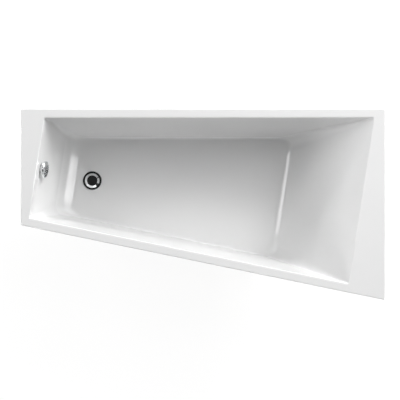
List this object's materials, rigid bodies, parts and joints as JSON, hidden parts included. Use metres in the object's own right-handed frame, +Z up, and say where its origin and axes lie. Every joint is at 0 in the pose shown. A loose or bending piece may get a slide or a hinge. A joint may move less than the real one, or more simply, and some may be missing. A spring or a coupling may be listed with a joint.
{
  "type": "asymmetric bathtub",
  "caption": "Asymmetric acrylic bathtub with a tapering basin, sloping backrest, adjustable feet, and a pop-up waste worked by the overflow knob.",
  "frame": {"origin": "on the floor, under the middle of the rim's box", "axes": "+X along the bath from the drain end to the backrest, +Y to the back wall, +Z up"},
  "size_m": [1.7, 0.8902, 0.595],
  "materials": {
    "acrylic": "gloss white sanitary acrylic",
    "glassfibre": "rough sprayed resin with chopped glass",
    "board": "raw particle board",
    "batten_wood": "sawn softwood",
    "galvanised_steel": "galvanised sheet",
    "zinc_fasteners": "bright zinc plate",
    "foot_plastic": "black moulded plastic",
    "chrome": "polished chrome plate",
    "brass": "turned brass",
    "rubber": "black rubber",
    "white_plastic": "white moulded plastic",
    "grey_plastic": "grey moulded plastic",
    "cable_sheath": "black extruded plastic"
  },
  "bodies": {
    "tub": {"base_board": "board", "cable_ferrules": "grey_plastic", "control_cable": "cable_sheath", "drum_cover": "white_plastic", "foot_lock_nuts": "zinc_fasteners", "foot_top_nuts": "zinc_fasteners", "glassfibre_backing": "glassfibre", "lever_pin": "brass", "overflow_back_seal": "rubber", "overflow_body": "white_plastic", "overflow_face": "chrome", "overflow_front_seal": "rubber", "overflow_pipe": "white_plastic", "pipe_nut_lower": "grey_plastic", "pipe_nut_upper": "grey_plastic", "pipe_seal_lower": "rubber", "pipe_seal_upper": "rubber", "plug_guide": "brass", "rail_screws": "zinc_fasteners", "rim_batten_back": "batten_wood", "rim_batten_backrest_end": "batten_wood", "rim_batten_drain_end": "batten_wood", "rim_batten_front": "batten_wood", "support_rail_backrest": "galvanised_steel", "support_rail_drain": "galvanised_steel", "trap_body": "white_plastic", "trap_nut": "grey_plastic", "trap_washer": "rubber", "tub_shell": "acrylic", "waste_body": "white_plastic", "waste_bottom_seal": "rubber", "waste_flange": "chrome", "waste_top_seal": "rubber"},
    "knob": {"overflow_knob": "chrome", "overflow_spindle": "brass"},
    "plug": {"plug_cap": "chrome", "plug_seal": "rubber", "plug_stem": "brass"},
    "lever": {"lift_lever": "white_plastic"},
    "foot_drain_front": {"foot_spindle_drain_front": "zinc_fasteners", "foot_pad_drain_front": "foot_plastic"},
    "foot_drain_back": {"foot_spindle_drain_back": "zinc_fasteners", "foot_pad_drain_back": "foot_plastic"},
    "foot_backrest_front": {"foot_spindle_backrest_front": "zinc_fasteners", "foot_pad_backrest_front": "foot_plastic"},
    "foot_backrest_back": {"foot_spindle_backrest_back": "zinc_fasteners", "foot_pad_backrest_back": "foot_plastic"}
  },
  "joints": [
    {"name": "knob_turn", "type": "hinge", "parent": "tub", "child": "knob", "pos_m": [-0.75303, 0.1691, 0.515], "axis": [0.9467, -0.1457, 0.2874], "range_deg": [0, 90]},
    {"name": "plug_lift", "type": "slide", "parent": "tub", "child": "plug", "axis": [0, 0, 1], "range_m": [0, 0.01]},
    {"name": "lever_tilt", "type": "hinge", "parent": "tub", "child": "lever", "pos_m": [-0.5219, 0.11936, 0.1217], "axis": [0.9884, -0.1521, 0], "range_deg": [0, 31]},
    {"name": "foot_height_drain_front", "type": "slide", "parent": "tub", "child": "foot_drain_front", "axis": [0, 0, 1], "range_m": [-0.03, 0]},
    {"name": "foot_height_drain_back", "type": "slide", "parent": "tub", "child": "foot_drain_back", "axis": [0, 0, 1], "range_m": [-0.03, 0]},
    {"name": "foot_height_backrest_front", "type": "slide", "parent": "tub", "child": "foot_backrest_front", "axis": [0, 0, 1], "range_m": [-0.03, 0]},
    {"name": "foot_height_backrest_back", "type": "slide", "parent": "tub", "child": "foot_backrest_back", "axis": [0, 0, 1], "range_m": [-0.03, 0]}
  ],
  "couplings": [
    {"joint": "plug_lift", "follows": "knob_turn", "m_per_rad": 0.006366},
    {"joint": "lever_tilt", "follows": "knob_turn", "ratio": 0.34444}
  ]
}
